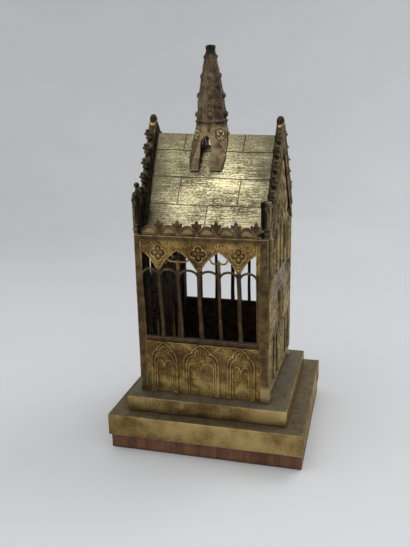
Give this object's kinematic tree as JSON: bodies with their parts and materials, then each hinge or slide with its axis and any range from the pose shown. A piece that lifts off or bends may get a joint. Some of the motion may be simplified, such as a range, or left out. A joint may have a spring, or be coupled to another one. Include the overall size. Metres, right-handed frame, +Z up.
{
  "type": "reliquary",
  "caption": "Chapel-shaped brass reliquary with traceried walls, a steep slab-pattern roof and a small spire, on a stepped base over a wooden board.",
  "frame": {"origin": "middle of the underside of the wooden board", "axes": "+Z up along the spire, +X to the right along the front, and the front looks towards -Y"},
  "size_m": [0.1248, 0.116, 0.25],
  "materials": {
    "board_wood": "oiled reddish-brown mahogany with a plain vertical figure and rubbed edges",
    "base_brass": "dull olive-gold sheet brass with brown stains",
    "body_brass": "golden brass worn through a brown patina",
    "dark_brass": "dark brown bronze-like patina, rubbed bright on the edges",
    "roof_brass": "pale yellow brushed brass with fine scratches and engraved joints"
  },
  "bodies": {
    "root": {"wood_base": "board_wood", "plinth_cover": "base_brass", "upper_step": "base_brass", "front_wall": "body_brass", "back_wall": "body_brass", "gable_wall_right": "body_brass", "gable_wall_left": "body_brass", "cresting_front": "dark_brass", "cresting_back": "dark_brass", "roof_front": "roof_brass", "roof_back": "roof_brass", "fleche": "dark_brass"}
  },
  "joints": []
}
